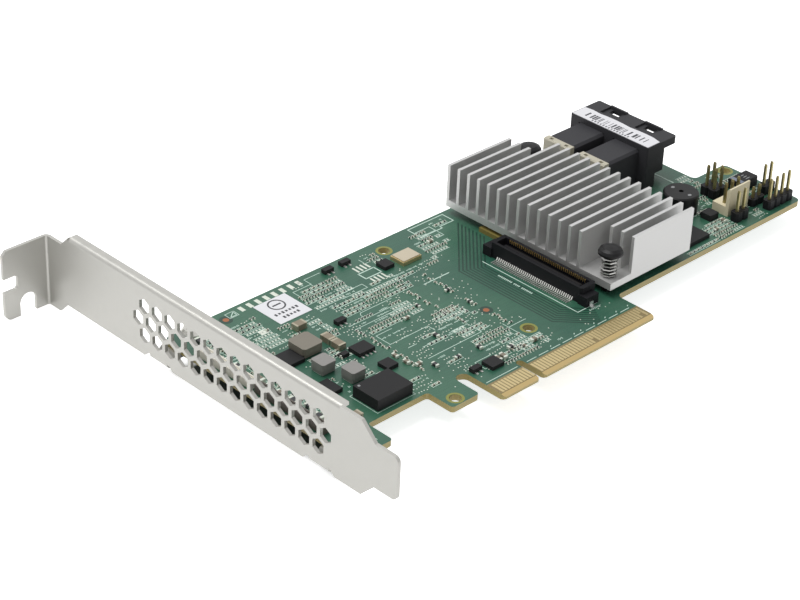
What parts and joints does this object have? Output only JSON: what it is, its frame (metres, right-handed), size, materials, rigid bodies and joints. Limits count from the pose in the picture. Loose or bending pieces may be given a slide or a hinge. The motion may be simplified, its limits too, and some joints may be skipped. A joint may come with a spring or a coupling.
{
  "type": "storage controller card",
  "caption": "Drive controller plug-in card: green board with gold edge contacts, vented steel bracket, finned heatsink, twin cable connector and pin headers.",
  "frame": {"origin": "middle of the key notch at the finger edge (Y=0), on the component side (Z=0); the board's mid plane is 0.785 mm below", "axes": "X along the board from the bracket to the far end, Y from the edge contacts to the top edge, Z out of the component side"},
  "size_m": [0.1847, 0.1207, 0.022],
  "materials": {
    "solder_mask": "satin green solder mask over glass laminate",
    "gold": "thin gold plating",
    "plated_steel": "plated sheet steel, satin",
    "screw_steel": "plated steel",
    "substrate": "package laminate",
    "lid_metal": "nickel plated lid",
    "thermal_pad": "grey gap pad",
    "aluminium": "matte extruded aluminium",
    "black_nylon": "moulded nylon",
    "black_moulding": "matte black moulding",
    "beige_moulding": "matte beige moulding",
    "cream_nylon": "cream nylon",
    "tin": "tin plating",
    "ferrite": "pressed powder",
    "package_black": "moulded package",
    "capacitor_brown": "fired ceramic",
    "label_paper": "printed label"
  },
  "bodies": {
    "root": {"circuit_board": "solder_mask", "edge_contacts": "gold", "bracket": "plated_steel", "bracket_screws": "screw_steel", "controller_substrate": "substrate", "controller_lid": "lid_metal", "thermal_pad": "thermal_pad", "heatsink": "aluminium", "push_pin_front": "black_nylon", "push_pin_back": "black_nylon", "pin_spring_front": "screw_steel", "pin_spring_back": "screw_steel", "port_shroud": "black_moulding", "port_body_a": "black_moulding", "port_body_b": "black_moulding", "port_organizer_a": "beige_moulding", "port_organizer_b": "beige_moulding", "port_tails": "tin", "stack_housing": "black_moulding", "stack_leads": "gold", "square_header_housing": "black_moulding", "edge_header_housing": "black_moulding", "small_header_housing": "black_moulding", "low_header_housing": "black_moulding", "rear_header_housing": "black_moulding", "lock_header_housing": "cream_nylon", "square_header_posts": "gold", "edge_header_posts": "gold", "small_header_posts": "gold", "low_header_posts": "gold", "rear_header_posts": "gold", "lock_header_posts": "gold", "buzzer": "black_moulding", "inductor_large": "ferrite", "inductor_small_a": "ferrite", "inductor_small_b": "ferrite", "inductor_terminals": "tin", "tantalum_capacitor": "package_black", "tantalum_terminals": "tin", "memory_block": "package_black", "memory_chip_front": "package_black", "oscillator_base": "gold", "oscillator_lid": "tin", "plain_chips": "package_black", "leaded_chips": "package_black", "chip_leads": "tin", "ceramic_capacitors": "capacitor_brown", "capacitor_terminals": "tin", "board_label": "label_paper", "port_label": "label_paper", "memory_chips_back": "package_black"}
  },
  "joints": []
}
